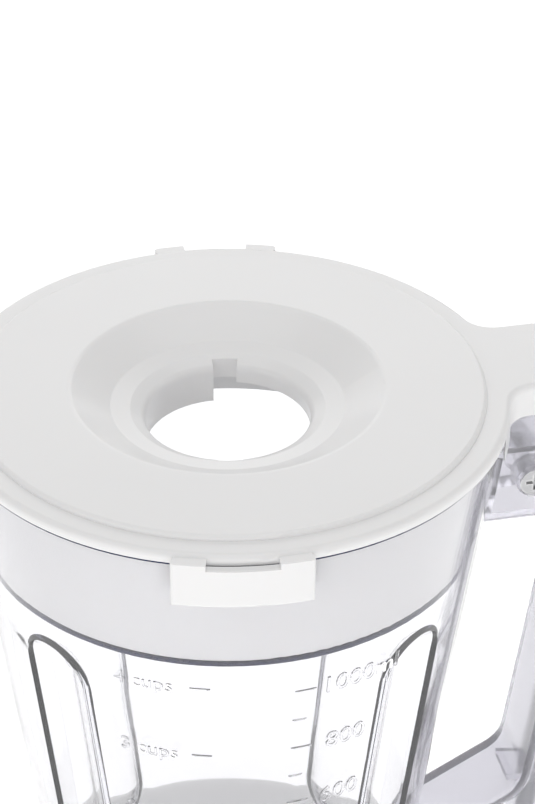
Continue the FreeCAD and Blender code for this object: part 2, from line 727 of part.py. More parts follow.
jug_coupling = make_coupling(z_driven_root + drive_disc, driven_tips, drive_disc, 30.0,
                             z_driven_root - 5, z_driven_root + drive_disc)
parts["jug_coupling"] = jug_coupling.cut(rod(shaft_radius, z_driven - 5.0, z_hub))
base_coupling = make_coupling(z_drive, drive_tips, drive_disc, 0.0, z_drive, z_drive_root)
parts["base_coupling"] = base_coupling.cut(rod(shaft_radius, z_drive - 1, z_drive + 5.0))


# ---- Base housing ----
def teardrop(big, nose, z):
    """Round body outline with a nose under the handle, as a wire at height z."""
    lean = math.acos((big - nose) / nose_x)
    on_big = [vec(big * math.cos(lean), s * big * math.sin(lean), z) for s in (1, -1)]
    on_nose = [vec(nose_x + nose * math.cos(lean), s * nose * math.sin(lean), z) for s in (1, -1)]
    return Part.Wire([
        Part.Arc(on_big[0], vec(-big, 0, z), on_big[1]).toShape(),
        Part.LineSegment(on_big[1], on_nose[1]).toShape(),
        Part.Arc(on_nose[1], vec(nose_x + nose, 0, z), on_nose[0]).toShape(),
        Part.LineSegment(on_nose[0], on_big[0]).toShape()])


def body_solid(inset, z0, z1):
    """The base's tapering body between two heights, moved in by inset."""
    wires = []
    for z in (z0, z1):
        share = (z - foot_height) / (base_height - foot_height)
        big = base_foot_radius + (base_deck_radius - base_foot_radius) * share - inset
        nose = nose_foot_radius + (nose_deck_radius - nose_foot_radius) * share - inset
        wires.append(teardrop(big, nose, z))
    return Part.makeLoft(wires, True, True)


boss_spots = [(79.0, 62.0), (79.0, 118.0), (79.0, 242.0), (79.0, 298.0)]
mount_spots = [(s * 38.5, t * 21.0) for s in (-1, 1) for t in (-1, 1)]
z_mount = 101.0
rib_face = 64.0


def make_housing():
    outer = body_solid(0.0, foot_height, z_deck)
    outer = outer.makeFillet(deck_edge_round, top_edges(outer, z_deck))
    outer = outer.fuse(along_y(turned([(0, 55), (pad_radius + 1.2, 55), (pad_radius, -pad_face_y, 2.0),
                                       (0, -pad_face_y)]), 0, 0, knob_height))
    inner = body_solid(wall, foot_height - 1, z_deck - wall)
    inner = inner.fuse(along_y(rod(pad_radius - wall, 50, -pad_face_y - wall), 0, 0, knob_height))
    seat_wall = turned([
        (0, z_well - wall), (well_radius + wall, z_well - wall), (well_radius + wall, z_seat - wall),
        (seat_bore_radius + wall, z_seat - wall), (seat_bore_radius + wall, z_deck), (0, z_deck)])
    housing = outer.cut(inner.cut(seat_wall))
    # interlock port, its guide under the deck, and the cradle ribs beside the handle's foot
    housing = joined([housing, rod(8.0, z_deck - 22, z_deck - 1, rod_port_x, rod_y)]
                     + [box(collar_radius + 24, rod_port_x + grip_half - 1, min(s * 13.0, s * 15.4),
                            max(s * 13.0, s * 15.4), z_deck - 1, z_deck + 4.0) for s in (-1, 1)])
    housing = joined([housing] + [box(rib_face - 4, rib_face, rod_y + y, rod_y + y + 3,
                                      z_deck - 66, z_deck - 1) for y in (-12, 6)])
    seat = turned([(0, z_well), (well_radius, z_well, 1.5), (well_radius, z_seat, 0.8),
                   (seat_bore_radius, z_seat, 0.8), (seat_bore_radius, z_deck),
                   (seat_bore_radius + 1.5, z_deck + 1.5), (0, z_deck + 1.5)])
    housing = housing.cut(seat)
    housing = housing.cut(tube(well_radius + 2.5, collar_radius - 2.0, z_seat - pad_depth, z_seat + 1))
    pieces = [housing]
    for radius, angle in boss_spots:
        pieces.append(rod(4.6, foot_height + plate_thickness + 0.2, 34, *polar(radius, angle)).common(outer))
    for x, y in mount_spots:
        pieces.append(rod(5.0, z_mount + 6.4, z_seat - 1.6, x, y))
    housing = joined(pieces)
    for radius, angle in boss_spots:
        housing = housing.cut(rod(1.5, foot_height, 26, *polar(radius, angle)))
    for x, y in mount_spots:
        housing = housing.cut(rod(1.6, z_mount, z_mount + 18, x, y))
    housing = housing.cut(rod(shaft_hole_radius, z_well - 10, z_well + 5))
    housing = housing.cut(rod(3.2 + fit_gap, z_deck - 30, z_deck + 5, rod_port_x, rod_y))
    housing = housing.cut(rod(4.8, z_deck - 6, z_deck + 5, rod_port_x, rod_y))
    housing = housing.cut(along_y(rod(5.2, 60, 100), 0, 0, knob_height))
    housing = housing.cut(along_y(rod(gland_radius, -100, -60), 0, 0, gland_height))
    for i in range(-4, 5):
        slot = box(-1.6, 1.6, 60, 100, 58, 96)
        slot.rotate(ORIGIN, Z, i * 7.0)
        housing = housing.cut(slot)
    return housing.removeSplitter()


gland_radius = 7.0
gland_height = 28.0
parts["base_housing"] = make_housing()


foot_spots = [(68.0, 40.0), (68.0, 140.0), (68.0, 220.0), (68.0, 320.0)]


def make_base_plate():
    z0, z1 = foot_height, foot_height + plate_thickness
    share_gap = wall + fit_gap
    plate = body_solid(share_gap, z0, z1)
    for radius, angle in boss_spots:
        x, y = polar(radius, angle)
        plate = plate.cut(rod(1.8, z0 - 1, z1 + 1, x, y))
        plate = plate.cut(rod(3.4, z0 - 1, z0 + 1.4, x, y))
    for radius, angle in foot_spots:
        x, y = polar(radius, angle)
        plate = plate.cut(rod(4.0, z0 - 1, z1 + 1, x, y))
    slot = slab([(14, -1.5, 1.49), (32, -1.5, 1.49), (32, 1.5, 1.49), (14, 1.5, 1.49)], z0 - 1, z1 + 1)
    for copy in around(slot, 16):
        plate = plate.cut(copy)
    guard = tube(fan_radius + 3.0, fan_radius + 5.0, z1 - 0.5, z1 + 12.0)
    return joined([plate, guard])


parts["base_plate"] = make_base_plate()


def make_feet():
    """Four rubber feet pushed through the base plate."""
    feet = []
    for radius, angle in foot_spots:
        x, y = polar(radius, angle)
        foot = turned([(0, 0), (9.0, 0, 1.2), (8.4, foot_height), (4.0, foot_height),
                       (4.0, foot_height + plate_thickness), (5.4, foot_height + plate_thickness),
                       (3.2, foot_height + plate_thickness + 3.5), (0, foot_height + plate_thickness + 3.5)])
        foot.translate(vec(x, y, 0))
        feet.append(foot)
    return Part.makeCompound(feet)


parts["feet"] = make_feet()


def make_base_screws():
    screws = []
    for radius, angle in boss_spots:
        x, y = polar(radius, angle)
        screw = pan_screw(1.5, 14.0, 3.1, 1.3)
        screw.rotate(ORIGIN, vec(1, 0, 0), 180)
        screw.translate(vec(x, y, foot_height + 1.4))
        screws.append(screw)
    return Part.makeCompound(screws)


parts["base_screws"] = make_base_screws()
parts["seat_pad"] = tube(well_radius + 2.5, collar_radius - 2.0, z_seat - pad_depth, z_seat)
parts["well_seal"] = turned([
    (shaft_radius + 0.4, z_well - wall), (shaft_hole_radius, z_well - wall), (shaft_hole_radius, z_well),
    (shaft_hole_radius + 2.0, z_well), (shaft_hole_radius + 1.0, z_well + 1.6, 0.4),
    (shaft_radius + 0.4, z_well + 1.6)])


# ---- Motor ----
shaft_low = 9.0
z_bearing_low = 26.0
z_bearing_high = 95.0
bracket_thickness = 4.0
bolt_spots = [(s * 27.5, t * 25.5) for s in (-1, 1) for t in (-1, 1)]
stator_top = stator_bottom + stator_height

parts["motor_shaft"] = rod(shaft_radius, shaft_low, z_drive + 5.0)


def make_bracket(z, half_x, half_y, hub_low, spots, hole):
    plate = slab([(-half_x, -half_y, 6), (half_x, -half_y, 6), (half_x, half_y, 6), (-half_x, half_y, 6)],
                 z, z + bracket_thickness)
    bearing = rod(bearing_radius, hub_low, hub_low + bearing_height)
    plate = joined([plate, rod(bearing_radius + 3.0, min(z, hub_low - 1.0),
                               max(z + bracket_thickness, hub_low + bearing_height))])
    plate = plate.cut(bearing).cut(rod(shaft_radius + 2.5, hub_low - 5, hub_low + 20))
    for x, y in bolt_spots:
        plate = plate.cut(rod(2.15, z - 20, z + 20, x, y))
    for x, y in spots:
        plate = plate.cut(rod(hole, z - 20, z + 20, x, y))
    for s in (-1, 1):
        window = [(s * 18, -15, 3), (s * 25, -15, 3), (s * 25, 15, 3), (s * 18, 15, 3)][::s]
        plate = plate.cut(slab(window, z - 20, z + 20))
    return plate.removeSplitter()


parts["motor_bracket_upper"] = make_bracket(z_mount - bracket_thickness - 1.0, 46.0, 31.0, z_bearing_high,
                                            mount_spots, 4.0)
parts["motor_bracket_lower"] = make_bracket(z_bearing_low + 1.0, 34.0, 30.0, z_bearing_low, [], 1.0)


def make_bearing(z):
    """Ball bearing seen as its outer ring, shields and inner ring in one piece."""
    ring = tube(shaft_radius + running_gap, bearing_radius, z, z + bearing_height)
    for edge in (z - 0.01, z + bearing_height - 0.6):
        ring = ring.cut(tube(shaft_radius + 2.0, bearing_radius - 2.0, edge, edge + 0.61))
    return ring


parts["motor_bearings"] = Part.makeCompound([make_bearing(z_bearing_high), make_bearing(z_bearing_low)])


def make_stator():
    core = slab([(-34, -30, 10), (34, -30, 10), (34, 30, 10), (-34, 30, 10)], stator_bottom, stator_top)
    core = core.cut(rod(armature_radius + 0.6, stator_bottom - 1, stator_top + 1))
    for middle in (0, 180):
        core = core.cut(sector(armature_radius, 26.5, stator_bottom - 1, stator_top + 1,
                               middle - 50, middle + 50))
    for x, y in bolt_spots:
        core = core.cut(rod(2.15, stator_bottom - 1, stator_top + 1, x, y))
    return core.removeSplitter()


parts["stator_core"] = make_stator()


def make_field_coil(middle):
    """Saddle coil round one pole: two straight sides in the windows and an arc at each end."""
    inner, outer = armature_radius + 1.6, 25.8
    pieces = [sector(inner, outer, stator_bottom - 0.5, stator_top + 0.5, middle - 67, middle - 42),
              sector(inner, outer, stator_bottom - 0.5, stator_top + 0.5, middle + 42, middle + 67),
              sector(inner, outer, stator_top + 0.3, stator_top + 6.5, middle - 67, middle + 67),
              sector(inner, outer, stator_bottom - 6.5, stator_bottom - 0.3, middle - 67, middle + 67)]
    return joined(pieces)


parts["field_coils"] = Part.makeCompound([make_field_coil(90), make_field_coil(270)])

z_bolt_head = z_mount - 1.0
parts["motor_bolts"] = Part.makeCompound([
    joined([rod(2.0, z_bearing_low - 2.0, z_bolt_head, x, y), rod(3.6, z_bolt_head, z_bolt_head + 2.4, x, y)])
    for x, y in bolt_spots])
parts["motor_spacers"] = Part.makeCompound([
    tube(2.1, 4.0, z0, z1, x, y) for x, y in bolt_spots
    for z0, z1 in ((z_bearing_low + 1.0 + bracket_thickness, stator_bottom),
                   (stator_top, z_mount - 1.0 - bracket_thickness))])


def make_armature_core():
    core = tube(shaft_radius, armature_radius, stator_bottom, stator_top)
    slot = box(9.0, armature_radius + 1, -0.9, 0.9, stator_bottom - 1, stator_top + 1)
    slot = slot.fuse(rod(2.0, stator_bottom - 1, stator_top + 1, 12.2, 0))
    for copy in around(slot, 12):
        core = core.cut(copy)
    return core.removeSplitter()


parts["armature_core"] = make_armature_core()


def make_armature_winding():
    bars = around(rod(1.8, stator_bottom - 1.5, stator_top + 1.5, 12.2, 0), 12)
    low = turned([(6.0, stator_bottom - 5.5, 1), (14.8, stator_bottom - 5.5, 2.4),
                  (14.8, stator_bottom - 0.2, 1), (6.0, stator_bottom - 0.2, 1)])
    high = turned([(6.0, stator_top + 0.2, 1), (14.8, stator_top + 0.2, 1),
                   (14.8, stator_top + 5.5, 2.4), (6.0, stator_top + 5.5, 1)])
    return joined([low, high] + bars)


parts["armature_winding"] = make_armature_winding()


def make_commutator():
    bars = tube(shaft_radius, 11.4, 36.0, 49.0)
    cut = box(9.6, 12.0, -0.25, 0.25, 35, 50)
    for copy in around(cut, 24):
        bars = bars.cut(copy)
    return bars.removeSplitter()


parts["commutator"] = make_commutator()

brush_z = 42.5
parts["brush_holders"] = Part.makeCompound([
    box(min(s * 14.0, s * 34.0), max(s * 14.0, s * 34.0), -5.2, 5.2, brush_z - 6.0, brush_z + 6.0).cut(
        box(min(s * 13.0, s * 32.0), max(s * 13.0, s * 32.0), -3.2, 3.2, brush_z - 4.0, brush_z + 4.0))
    for s in (-1, 1)])
parts["carbon_brushes"] = Part.makeCompound([
    box(min(s * 11.75, s * 24.0), max(s * 11.75, s * 24.0), -3.1, 3.1, brush_z - 3.9, brush_z + 3.9)
    for s in (-1, 1)])


def make_brush_springs():
    springs = []
    for s in (-1, 1):
        spring = helix_spring(2.2, 0.3, 0, 7.8, 6)
        spring.rotate(ORIGIN, vec(0, 1, 0), s * 90)
        spring.translate(vec(s * 24.1, 0, brush_z))
        springs.append(spring)
    return Part.makeCompound(springs)


parts["brush_springs"] = make_brush_springs()


def make_fan():
    """Radial cooling fan on the shaft's lower end."""
    hub = tube(shaft_radius, 8.0, shaft_low + 1, shaft_low + 12.0)
    disc = tube(shaft_radius, fan_radius, shaft_low + 10.2, shaft_low + 12.0)
    blade = box(6.0, fan_radius - 1.0, -0.8, 0.8, shaft_low + 1.5, shaft_low + 11.0)
    return joined([hub, disc] + around(blade, 9))


parts["cooling_fan"] = make_fan()


def make_mounts():
    """Rubber grommets in the upper bracket's holes."""
    z_plate = z_mount - 1.0 - bracket_thickness
    grommets = []
    for x, y in mount_spots:
        grommet = turned([(2.2, z_plate - 1.6), (6.0, z_plate - 1.6, 0.6), (6.0, z_plate), (4.0, z_plate),
                          (4.0, z_plate + bracket_thickness), (6.0, z_plate + bracket_thickness),
                          (6.0, z_mount + 6.4), (2.2, z_mount + 6.4)])
        grommet.translate(vec(x, y, 0))
        grommets.append(grommet)
    return Part.makeCompound(grommets)


parts["motor_mounts"] = make_mounts()


def make_mount_screws():
    z_head = z_mount - 1.0 - bracket_thickness - 1.6
    screws = []
    for x, y in mount_spots:
        screw = pan_screw(1.6, 22.0, 4.0, 1.8)
        screw.rotate(ORIGIN, vec(1, 0, 0), 180)
        screw.translate(vec(x, y, z_head))
        screws.append(screw)
    return Part.makeCompound(screws)


parts["motor_mount_screws"] = make_mount_screws()


# ---- Controls ----
def make_bezel():
    """Dial ring round the knob, with its raised rim."""
    face = -pad_face_y
    ring = turned([(5.4, face), (pad_radius - 3.5, face), (pad_radius - 3.5, face + 1.6, 0.7),
                   (pad_radius - 5.5, face + 1.6, 0.4), (pad_radius - 6.0, face + 1.0), (5.4, face + 1.0)])
    return along_y(ring, 0, 0, knob_height)


parts["knob_bezel"] = make_bezel()

knob_back = -pad_face_y + 1.4


def make_knob():
    body = turned([(0, knob_back), (knob_radius, knob_back, 0.6), (knob_radius - 0.4, knob_back + 6.0, 1.2),
                   (knob_radius - 2.6, knob_back + 8.0, 1.0), (knob_radius - 3.2, knob_back + 18.5, 2.2),
                   (0, knob_back + 18.5)])
    for s in (-1, 1):
        scoop = slab([(s * 5.2, -40, 0), (s * 30, -40, 0), (s * 30, 40, 0), (s * 5.2, 40, 0)][::s],
                     knob_back + 8.2, knob_back + 40)
        body = body.cut(scoop)
    grips = around(rod(0.9, knob_back + 0.8, knob_back + 5.2, knob_radius + 0.35, 0), 36)
    for grip in grips:
        body = body.cut(grip)
    body = body.cut(rod(3.05, knob_back - 1, knob_back + 12.0))
    body = body.cut(box(-0.9, 0.9, 4.0, knob_radius - 3.5, knob_back + 17.7, knob_back + 20))
    return along_y(body.removeSplitter(), 0, 0, knob_height)


parts["speed_knob"] = make_knob()
parts["knob_pointer"] = along_y(box(-0.9, 0.9, 4.0, knob_radius - 3.6, knob_back + 17.7, knob_back + 18.7),
                                0, 0, knob_height)
parts["knob_spindle"] = along_y(rod(3.0, -pad_face_y - 22.0, knob_back + 11.5), 0, 0, knob_height)


def make_switch():
    """Rotary switch body with its threaded neck through the panel."""
    back = -pad_face_y - wall
    body = slab([(-15, -15, 2), (15, -15, 2), (15, 15, 2), (-15, 15, 2)], back - 19.0, back - 0.2)
    neck = rod(5.0, back - 1.0, back + wall + 0.8)
    blades = [box(x - 2.4, x + 2.4, -14.5, -13.7, back - 27.0, back - 18.5) for x in (-9, 0, 9)]
    body = joined([body, neck] + blades)
    return along_y(body.cut(rod(3.0 + running_gap, back - 20.0, back + 8)), 0, 0, knob_height)


parts["rotary_switch"] = make_switch()


def make_control_board():
    """Speed board on the seat's rear side: board and its edge slots."""
    board = box(-26, 26, 56.0, 57.6, 44, 84)
    for x in (-22, 22):
        for z in (48, 80):
            board = board.cut(along_y(rod(1.6, -60, -50), x, 0, z))
    return board


parts["control_board"] = make_control_board()
parts["board_parts"] = Part.makeCompound([
    box(-20, -6, 47.0, 56.0, 50, 68),
    along_y(rod(5.0, -56.0, -44.0), 4, 0, 58),
    box(12, 20, 48.0, 56.0, 52, 74),
    along_y(rod(3.4, -56.0, -48.0), 4, 0, 74)])


def make_gland():
    """Bush in the rear wall with the bore for the mains lead."""
    y_wall = body_radius(gland_height)
    bush = turned([(gland_bore, -y_wall - 9.0), (gland_bore + 2.2, -y_wall - 9.0, 0.8),
                   (gland_radius + 2.0, -y_wall - 1.2, 0.5), (gland_radius + 2.0, -y_wall + 0.2),
                   (gland_radius - 0.05, -y_wall + 0.2), (gland_radius - 0.05, -y_wall + wall + 0.4),
                   (gland_radius + 1.6, -y_wall + wall + 0.4),
                   (gland_radius + 1.6, -y_wall + wall + 4.0, 0.8),
                   (gland_bore, -y_wall + wall + 4.0)])
    bush = along_y(bush, 0, 0, gland_height)
    return bush.cut(body_solid(0.0, foot_height, z_deck).cut(body_solid(wall, foot_height, z_deck).fuse(
        along_y(rod(gland_radius, -100, -60), 0, 0, gland_height))))


gland_bore = 3.6


def body_radius(z):
    share = (z - foot_height) / (base_height - foot_height)
    return base_foot_radius + (base_deck_radius - base_foot_radius) * share


parts["cord_gland"] = make_gland()
parts["terminal_block"] = joined([box(16, 40, 44, 56, 8.0, 20.0), box(14, 42, 48, 52, 6.5, 9.0)]).cut(
    Part.makeCompound([along_y(rod(2.0, -60, -40), x, 0, 14.5) for x in (21, 28, 35)]))


# ---- Interlock in the base ----
plunger_radius = 3.2
z_plunger_top = z_deck - 3.0
z_plunger_flange = z_deck - 30.0


def make_plunger():
    body = rod(plunger_radius, z_plunger_flange, z_plunger_top - 1, rod_port_x, rod_y)
    tip = Part.makeCone(plunger_radius, plunger_radius - 1.0, 1.0, vec(rod_port_x, rod_y, z_plunger_top - 1))
    stem = rod(1.7, z_plunger_flange - 16.9, z_plunger_flange, rod_port_x, rod_y)
    return joined([body, tip, stem, rod(5.2, z_plunger_flange, z_plunger_flange + 2.0, rod_port_x, rod_y)])


parts["interlock_plunger"] = make_plunger()
spring = helix_spring(3.4, 0.4, z_plunger_flange - 12.0, z_plunger_flange - 0.1, 6)
spring.translate(vec(rod_port_x, rod_y, 0))
parts["plunger_spring"] = spring

z_shelf = z_plunger_flange - 14.2
parts["switch_bracket"] = joined([
    box(rib_face, 85, rod_y - 12, rod_y + 9, z_shelf, z_shelf + 2.1),
    box(rib_face, rib_face + 2.4, rod_y - 12, rod_y + 9, z_shelf - 22, z_shelf + 2.1)]).cut(
        rod(2.1, z_shelf - 5, z_shelf + 5, rod_port_x, rod_y))
parts["interlock_switch"] = joined([
    box(75, 84, rod_y - 10, rod_y + 9, z_shelf - 19.5, z_shelf - 3.6),
    box(78, 82, rod_y - 2, rod_y + 2, z_shelf - 3.8, z_shelf - 3.0),
    box(rib_face + 2.4, 75, rod_y - 9, rod_y + 8, z_shelf - 17, z_shelf - 9)])


os.makedirs("parts", exist_ok=True)
for name, shape in parts.items():
    shape.exportStep(os.path.join("parts", name + ".step"))
print(len(parts), "parts written")
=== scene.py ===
import math

import bmesh
import bpy
from mathutils import Matrix, Vector


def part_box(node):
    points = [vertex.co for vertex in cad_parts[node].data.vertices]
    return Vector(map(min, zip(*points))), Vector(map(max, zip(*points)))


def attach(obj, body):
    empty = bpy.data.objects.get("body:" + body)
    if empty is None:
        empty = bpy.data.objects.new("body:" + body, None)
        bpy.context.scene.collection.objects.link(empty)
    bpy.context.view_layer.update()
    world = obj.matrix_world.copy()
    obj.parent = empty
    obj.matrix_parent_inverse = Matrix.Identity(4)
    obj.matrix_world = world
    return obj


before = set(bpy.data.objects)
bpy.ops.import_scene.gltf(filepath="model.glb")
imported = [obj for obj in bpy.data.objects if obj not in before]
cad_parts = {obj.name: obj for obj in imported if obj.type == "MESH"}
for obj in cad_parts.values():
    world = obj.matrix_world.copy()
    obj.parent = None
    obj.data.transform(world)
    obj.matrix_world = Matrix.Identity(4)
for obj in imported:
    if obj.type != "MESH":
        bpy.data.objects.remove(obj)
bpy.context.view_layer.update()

scene = bpy.context.scene


def corners(node):
    """A CAD node's lowest and highest corners as vectors."""
    low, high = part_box(node)
    return Vector(low), Vector(high)


# ---- Places read from the frame ----
PLATEAU = 0.0012            # height of the lid's raised middle over its flange
LID_Z = corners("lid")[1].z - PLATEAU
RIM_Z = corners("jug")[1].z
RIM_RADIUS = 0.0669         # the jug's outside radius at its rim
TAPER = 0.129               # what the jug's radius loses for each unit down from the rim
knob_low, knob_high = corners("speed_knob")
KNOB_Z = (knob_low.z + knob_high.z) / 2


def jug_radius(z):
    """The jug's outside radius at a height."""
    return RIM_RADIUS - TAPER * (RIM_Z - z)


# ---- Materials ----
COAT_ROUGHNESS = 0.12
SCATTER_DEPTH = 0.0012
CLEAR_IOR = 1.47


def new_material(name):
    """A node material, its tree and its Principled shader."""
    material = bpy.data.materials.new(name)
    material.use_nodes = True
    tree = material.node_tree
    return material, tree, tree.nodes["Principled BSDF"]


def link(tree, a, b):
    tree.links.new(a, b)


def noise(tree, scale, detail=4.0, roughness=0.55, stretch=None):
    """Noise in object coordinates, stretched along an axis when asked."""
    coords = tree.nodes.new("ShaderNodeTexCoord")
    source = coords.outputs["Object"]
    if stretch:
        mapping = tree.nodes.new("ShaderNodeMapping")
        mapping.inputs["Scale"].default_value = stretch
        link(tree, source, mapping.inputs["Vector"])
        source = mapping.outputs["Vector"]
    node = tree.nodes.new("ShaderNodeTexNoise")
    node.inputs["Scale"].default_value = scale
    node.inputs["Detail"].default_value = detail
    node.inputs["Roughness"].default_value = roughness
    link(tree, source, node.inputs["Vector"])
    return node.outputs["Fac"]


def ramp(tree, source, stops):
    """A colour ramp from (place, colour) stops."""
    node = tree.nodes.new("ShaderNodeValToRGB")
    node.color_ramp.elements[0].position, node.color_ramp.elements[0].color = stops[0][0], (*stops[0][1], 1)
    node.color_ramp.elements[1].position, node.color_ramp.elements[1].color = stops[-1][0], (*stops[-1][1], 1)
    for place, colour in stops[1:-1]:
        node.color_ramp.elements.new(place).color = (*colour, 1)
    link(tree, source, node.inputs["Fac"])
    return node.outputs["Color"]


def spread(tree, source, low, high):
    """Spread a noise's middle range over low to high."""
    node = tree.nodes.new("ShaderNodeMapRange")
    node.inputs["From Min"].default_value = 0.3
    node.inputs["From Max"].default_value = 0.7
    node.inputs["To Min"].default_value = low
    node.inputs["To Max"].default_value = high
    link(tree, source, node.inputs["Value"])
    return node.outputs["Result"]


def bump(tree, source, strength, distance):
    node = tree.nodes.new("ShaderNodeBump")
    node.inputs["Strength"].default_value = strength
    node.inputs["Distance"].default_value = distance
    link(tree, source, node.inputs["Height"])
    return node.outputs["Normal"]


def edge_mask(tree, radius=0.0009):
    """How far the surface turns within a small radius, for rubbed edges."""
    bevel = tree.nodes.new("ShaderNodeBevel")
    bevel.samples = 4
    bevel.inputs["Radius"].default_value = radius
    geometry = tree.nodes.new("ShaderNodeNewGeometry")
    dot = tree.nodes.new("ShaderNodeVectorMath")
    dot.operation = "DOT_PRODUCT"
    link(tree, bevel.outputs["Normal"], dot.inputs[0])
    link(tree, geometry.outputs["Normal"], dot.inputs[1])
    node = tree.nodes.new("ShaderNodeMapRange")
    node.inputs["From Min"].default_value = 1.0
    node.inputs["From Max"].default_value = 0.8
    link(tree, dot.outputs["Value"], node.inputs["Value"])
    return node.outputs["Result"]


def blend_colour(tree, factor, a, b):
    """Mix two colours or colour sockets by a factor."""
    node = tree.nodes.new("ShaderNodeMix")
    node.data_type = "RGBA"
    link(tree, factor, node.inputs[0])
    for socket, value in ((node.inputs[6], a), (node.inputs[7], b)):
        if isinstance(value, tuple):
            socket.default_value = (*value, 1)
        else:
            link(tree, value, socket)
    return node.outputs[2]


def solid_material(name, dark, light, rough, grain, metal=0.0, cloud=18.0, coat=0.0,
                   stretch=None, wear=None, sub=0.0, ior=1.46):
    """A moulded or machined surface: clouded colour, uneven gloss, fine grain and rubbed edges.

    rough is the range of the roughness, grain the (scale, distance, strength) of the bump, cloud the scale of
    the colour's clouds, and wear the colour that rubbed edges take.
    """
    material, tree, shader = new_material(name)
    clouds = noise(tree, cloud, 5.0)
    colour = ramp(tree, clouds, ((0.32, dark), (0.68, light)))
    if wear:
        colour = blend_colour(tree, edge_mask(tree), colour, wear)
    link(tree, colour, shader.inputs["Base Color"])
    smears = noise(tree, cloud * 4.5, 6.0, 0.62, stretch)
    link(tree, spread(tree, smears, *rough), shader.inputs["Roughness"])
    scale, distance, strength = grain
    link(tree, bump(tree, noise(tree, scale, 3.0, 0.5, stretch), strength, distance), shader.inputs["Normal"])
    shader.inputs["Metallic"].default_value = metal
    shader.inputs["IOR"].default_value = ior
    shader.inputs["Coat Weight"].default_value = coat
    shader.inputs["Coat Roughness"].default_value = COAT_ROUGHNESS
    if sub:
        shader.inputs["Subsurface Weight"].default_value = sub
        shader.inputs["Subsurface Radius"].default_value = (1.0, 0.9, 0.8)
        shader.inputs["Subsurface Scale"].default_value = SCATTER_DEPTH
    return material


def clear_material(name, tint, density, rough, absorb, shade, clarity):
    """Clear moulded plastic: faint flow waves, a violet-grey depth colour at its edges, and a light shadow.

    absorb and density colour the plastic's depth, shade is what its shadow keeps of the light, and clarity is
    the share of light that isn't scattered.
    """
    material, tree, shader = new_material(name)
    shader.inputs["Base Color"].default_value = (*tint, 1)
    shader.inputs["Transmission Weight"].default_value = clarity
    shader.inputs["IOR"].default_value = CLEAR_IOR
    link(tree, spread(tree, noise(tree, 55.0, 5.0), *rough), shader.inputs["Roughness"])
    flow = bump(tree, noise(tree, 32.0, 2.0, 0.4, (1.0, 1.0, 0.35)), 0.35, 0.0004)
    link(tree, flow, shader.inputs["Normal"])
    volume = tree.nodes.new("ShaderNodeVolumeAbsorption")
    volume.inputs["Color"].default_value = (*absorb, 1)
    volume.inputs["Density"].default_value = density
    output = tree.nodes["Material Output"]
    link(tree, volume.outputs["Volume"], output.inputs["Volume"])
    mix = tree.nodes.new("ShaderNodeMixShader")
    path = tree.nodes.new("ShaderNodeLightPath")
    clear = tree.nodes.new("ShaderNodeBsdfTransparent")
    clear.inputs["Color"].default_value = (*shade, 1)
    link(tree, path.outputs["Is Shadow Ray"], mix.inputs[0])
    link(tree, shader.outputs["BSDF"], mix.inputs[1])
    link(tree, clear.outputs["BSDF"], mix.inputs[2])
    link(tree, mix.outputs["Shader"], output.inputs["Surface"])
    return material


LID_WHITE = solid_material("lid_white", (0.872, 0.866, 0.865), (0.886, 0.882, 0.881), (0.31, 0.37), cloud=9.0,
                           grain=(1500.0, 0.00003, 0.30), coat=0.15, sub=0.12)
BODY_WHITE = solid_material("body_white", (0.745, 0.742, 0.738), (0.76, 0.757, 0.753), (0.30, 0.35),
                            cloud=9.0, grain=(600.0, 0.00002, 0.12), coat=0.12)
KNOB_WHITE = solid_material("knob_white", (0.77, 0.77, 0.765), (0.79, 0.79, 0.785), (0.30, 0.38), cloud=12.0,
                            grain=(1400.0, 0.00004, 0.35), coat=0.2)
JUG_CLEAR = clear_material("jug_clear", (0.982, 0.981, 0.99), 8.0, (0.012, 0.04), (0.50, 0.50, 0.72),
                           (0.98, 0.98, 0.983), 0.972)
HANDLE_CLEAR = clear_material("handle_clear", (0.90, 0.895, 0.925), 12.0, (0.07, 0.15), (0.52, 0.51, 0.68),
                              (0.93, 0.93, 0.94), 0.88)
SEAL_NAVY = solid_material("seal_navy", (0.035, 0.045, 0.115), (0.06, 0.07, 0.16), (0.45, 0.62),
                           grain=(1800.0, 0.00005, 0.4), wear=(0.10, 0.11, 0.20))
# dark navy of the lid seal's lip, which is also painted shade there and on the ring under the lid's flange
SEAL_AND_SHADE_NAVY = solid_material("seal_and_shade_navy", (0.010, 0.013, 0.055), (0.018, 0.023, 0.08), (0.60, 0.75),
                          grain=(1800.0, 0.00004, 0.3), ior=1.25)
RUBBER = solid_material("black_rubber", (0.012, 0.012, 0.013), (0.03, 0.03, 0.032), (0.62, 0.85),
                        grain=(1600.0, 0.00008, 0.6), wear=(0.06, 0.06, 0.06))
GREY = solid_material("grey_plastic", (0.20, 0.205, 0.215), (0.27, 0.275, 0.285), (0.38, 0.52),
                      grain=(1300.0, 0.00006, 0.5), wear=(0.36, 0.36, 0.37))
DARK = solid_material("dark_plastic", (0.018, 0.018, 0.02), (0.035, 0.035, 0.038), (0.32, 0.48),
                      grain=(1300.0, 0.00005, 0.45), wear=(0.08, 0.08, 0.085))
STEEL = solid_material("brushed_steel", (0.46, 0.46, 0.47), (0.62, 0.62, 0.63), (0.20, 0.36), metal=1.0,
                       grain=(700.0, 0.00004, 0.35), stretch=(1.0, 1.0, 14.0), cloud=30.0,
                       wear=(0.78, 0.78, 0.78))
BLADE = solid_material("blade_steel", (0.60, 0.60, 0.61), (0.72, 0.72, 0.73), (0.14, 0.26), metal=1.0,
                       grain=(800.0, 0.00003, 0.3), stretch=(12.0, 1.0, 1.0), cloud=40.0,
                       wear=(0.85, 0.85, 0.85))
CHROME = solid_material("chrome", (0.66, 0.66, 0.68), (0.74, 0.74, 0.76), (0.05, 0.12), metal=1.0,
                        grain=(500.0, 0.00002, 0.2), cloud=24.0, wear=(0.85, 0.85, 0.86))
